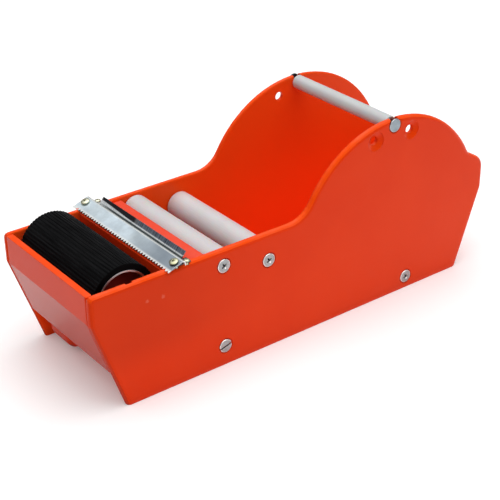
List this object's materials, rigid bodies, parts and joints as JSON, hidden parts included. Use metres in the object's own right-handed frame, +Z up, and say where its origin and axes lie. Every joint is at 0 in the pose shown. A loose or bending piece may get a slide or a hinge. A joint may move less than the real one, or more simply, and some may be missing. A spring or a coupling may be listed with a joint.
{
  "type": "gummed tape dispenser",
  "caption": "Manual gummed-tape dispenser with humped side plates, water tank, lift-out ribbed wetting roller, guide rollers, toothed tear blade and an open bay for the tape roll.",
  "frame": {"origin": "on the table, under the middle of the body", "axes": "+X towards the rear with the roll bay, -X towards the front where the tape leaves, +Y towards the left side plate, +Z up"},
  "size_m": [0.3608, 0.1232, 0.1489],
  "materials": {
    "body_plastic": "glossy moulded orange plastic",
    "rubber": "black ribbed rubber",
    "steel": "turned steel",
    "roller_plastic": "white satin plastic",
    "plug_plastic": "dark red plastic",
    "blade_steel": "bare sheet steel",
    "zinc": "yellowish zinc plating"
  },
  "bodies": {
    "frame": {"blade_screw_left": "zinc", "blade_screw_right": "zinc", "deck_wall": "body_plastic", "floor_front_screw_left": "steel", "floor_front_screw_right": "steel", "floor_rear_screw_left": "steel", "floor_rear_screw_right": "steel", "front_panel": "body_plastic", "front_roller_screw_left": "steel", "front_roller_screw_right": "steel", "guide_axle_front": "steel", "guide_axle_rear": "steel", "guide_screw_left": "zinc", "guide_screw_right": "zinc", "rear_panel": "body_plastic", "rear_roller_screw_left": "steel", "rear_roller_screw_right": "steel", "roll_floor": "body_plastic", "side_plate_left": "body_plastic", "side_plate_right": "body_plastic", "tank_floor": "body_plastic", "tape_guide": "blade_steel", "tear_blade": "blade_steel", "top_axle": "steel", "top_roller_screw_left": "steel", "top_roller_screw_right": "steel"},
    "wetting_axle": {"wetting_axle": "steel"},
    "wetting_roller": {"wetting_sleeve": "rubber", "wetting_tube": "steel", "wetting_plug_right": "plug_plastic", "wetting_plug_left": "plug_plastic"},
    "front_guide_roller": {"guide_roller_front": "roller_plastic"},
    "rear_guide_roller": {"guide_roller_rear": "roller_plastic"},
    "top_roller": {"top_roller": "roller_plastic"}
  },
  "joints": [
    {"name": "wetting_roller_lift", "type": "slide", "parent": "frame", "child": "wetting_axle", "axis": [0, 0, 1], "range_m": [0, 0.06]},
    {"name": "wetting_roller_spin", "type": "hinge", "parent": "wetting_axle", "child": "wetting_roller", "pos_m": [-0.1484, 0, 0.0787], "axis": [0, 1, 0], "continuous": true},
    {"name": "front_guide_spin", "type": "hinge", "parent": "frame", "child": "front_guide_roller", "pos_m": [-0.07377, 0, 0.0808], "axis": [0, 1, 0], "continuous": true},
    {"name": "rear_guide_spin", "type": "hinge", "parent": "frame", "child": "rear_guide_roller", "pos_m": [-0.03467, 0, 0.0718], "axis": [0, 1, 0], "continuous": true},
    {"name": "top_roller_spin", "type": "hinge", "parent": "frame", "child": "top_roller", "pos_m": [0.0824, 0, 0.1434], "axis": [0, 1, 0], "continuous": true}
  ]
}
